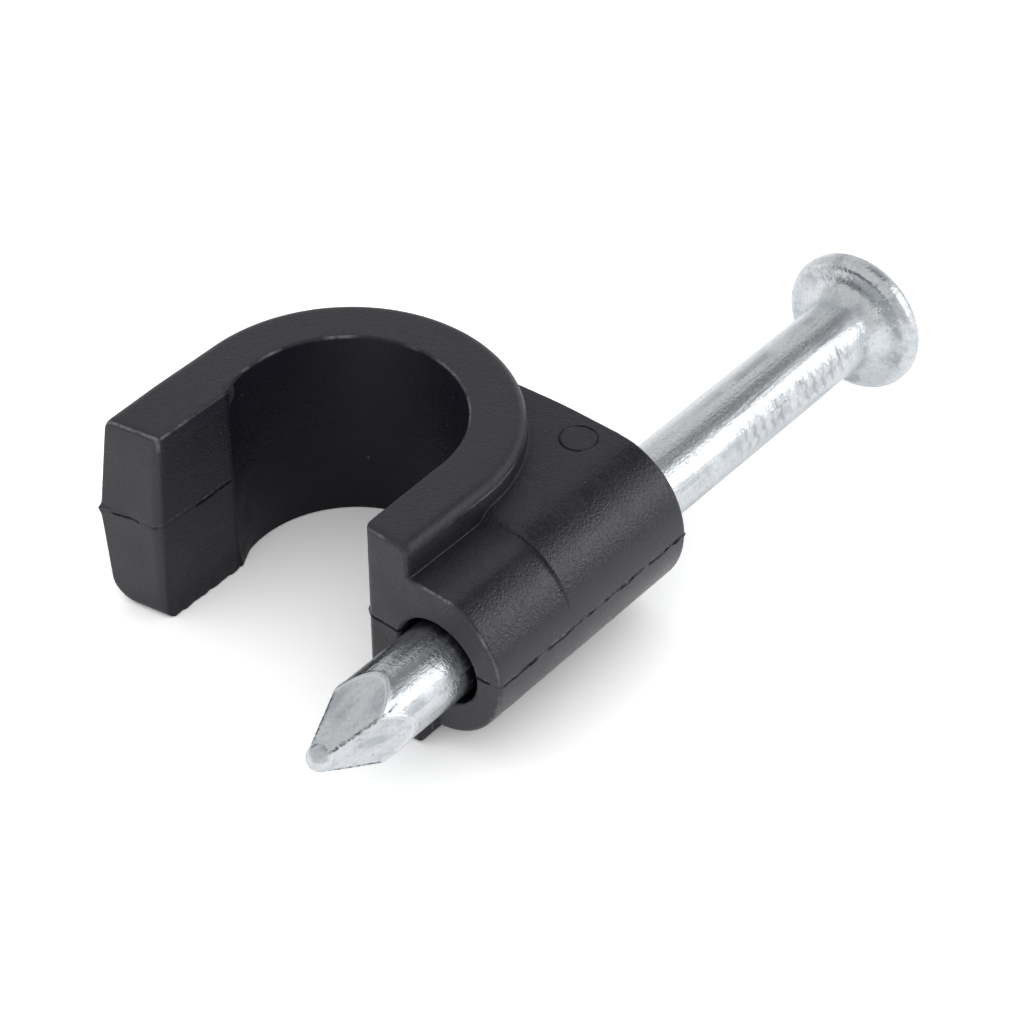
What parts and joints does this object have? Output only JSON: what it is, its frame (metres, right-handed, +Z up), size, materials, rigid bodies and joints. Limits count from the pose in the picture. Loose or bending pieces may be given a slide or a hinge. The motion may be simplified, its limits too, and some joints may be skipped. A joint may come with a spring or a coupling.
{
  "type": "nail-in cable clip",
  "caption": "Nail-in cable clip: an open moulded hook that snaps over a round cable, with a nail boss on its side and a flat-headed, diamond-pointed nail pre-set in the boss.",
  "frame": {"origin": "under the centre of the bounding box, on the surface that the clip lies on", "axes": "+Z up, across the hook's width and along the cable; +Y along the nail from its point to its head; the hook lies to -X of the nail"},
  "size_m": [0.0138, 0.0254, 0.0066],
  "materials": {
    "black_plastic": "semi-matte moulded, fine grain on the boss",
    "zinc_steel": "bright zinc plating with drawn streaks"
  },
  "bodies": {
    "clip": {"clip_body": "black_plastic"},
    "nail": {"nail": "zinc_steel"}
  },
  "joints": [
    {"name": "nail_drive", "type": "slide", "parent": "clip", "child": "nail", "axis": [0, -1, 0], "range_m": [0, 0.0112]}
  ]
}
